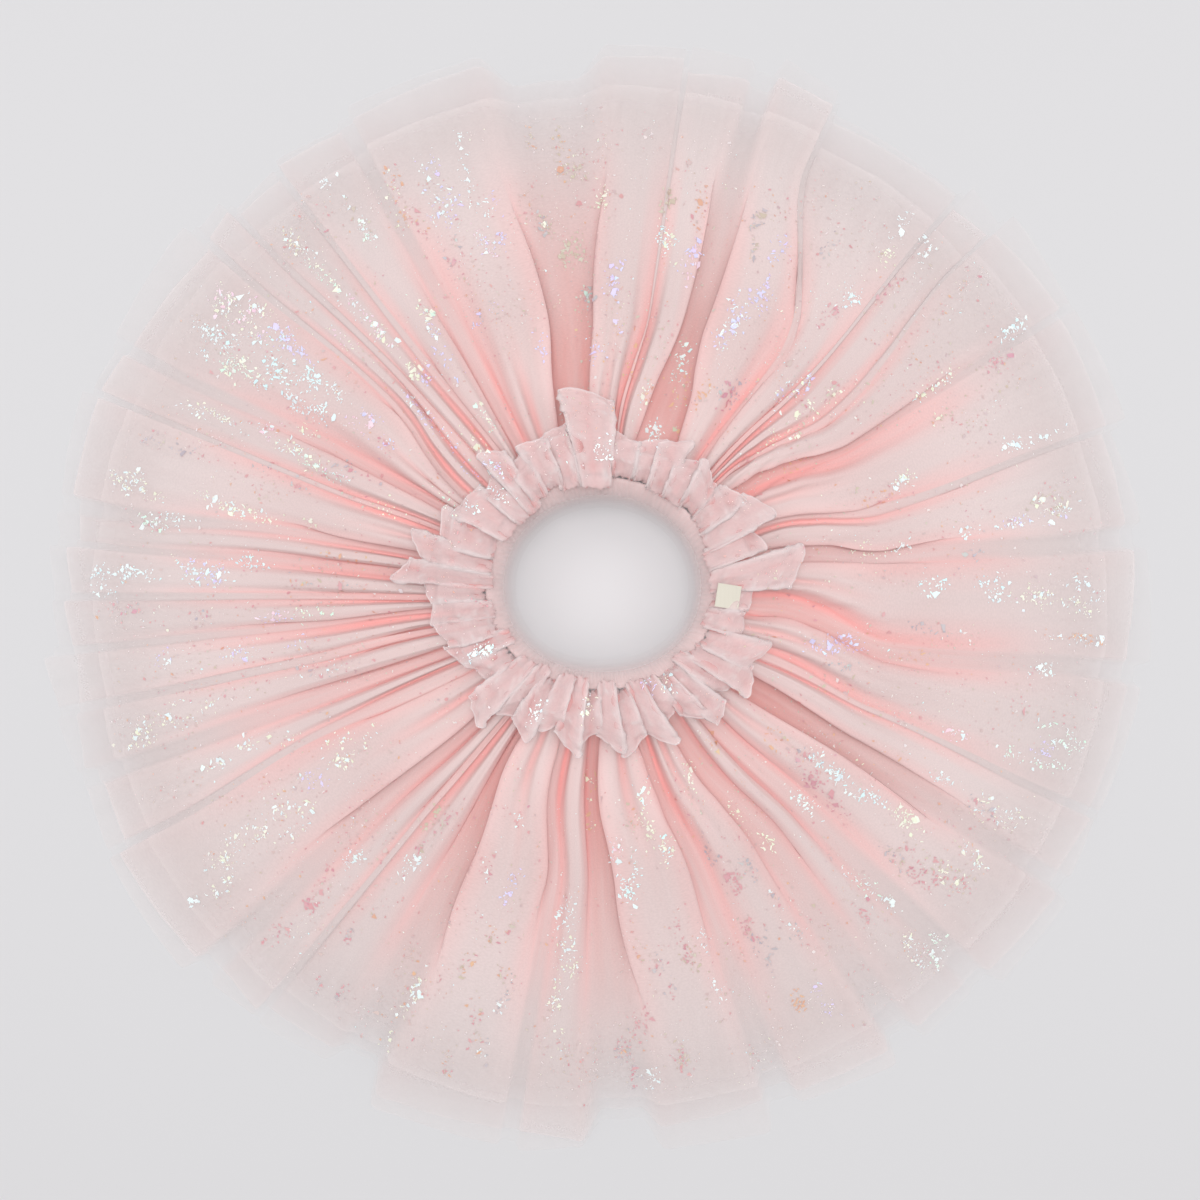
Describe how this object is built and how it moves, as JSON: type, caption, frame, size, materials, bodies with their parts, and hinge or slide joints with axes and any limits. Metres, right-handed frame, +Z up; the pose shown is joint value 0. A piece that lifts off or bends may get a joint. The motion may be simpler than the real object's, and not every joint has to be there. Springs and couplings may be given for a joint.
{
  "type": "tulle skirt",
  "caption": "Child's gathered tulle skirt in sheer layers, spread flat in a ring round its frilled elastic waist.",
  "frame": {"origin": "on the surface the skirt lies on, under the middle of its spread outline", "axes": "+Z up, through the waist opening; +X from the middle towards the side with the label; +Y towards the far side as it is pictured"},
  "size_m": [0.6166, 0.6182, 0.0662],
  "materials": {
    "foil_tulle": "sheer pink net with small iridescent foil flakes",
    "plain_tulle": "sheer pink net",
    "pale_tulle": "sheer pale net",
    "gathered_casing": "gathered pink net over elastic",
    "frill_tulle": "doubled crisp pink net with a few foil flakes",
    "label_tape": "matt woven cream tape"
  },
  "bodies": {
    "root": {"outer_tulle": "foil_tulle", "middle_tulle": "plain_tulle", "under_tulle": "pale_tulle", "waist_casing": "gathered_casing", "header_ruffle": "frill_tulle", "label": "label_tape"}
  },
  "joints": []
}
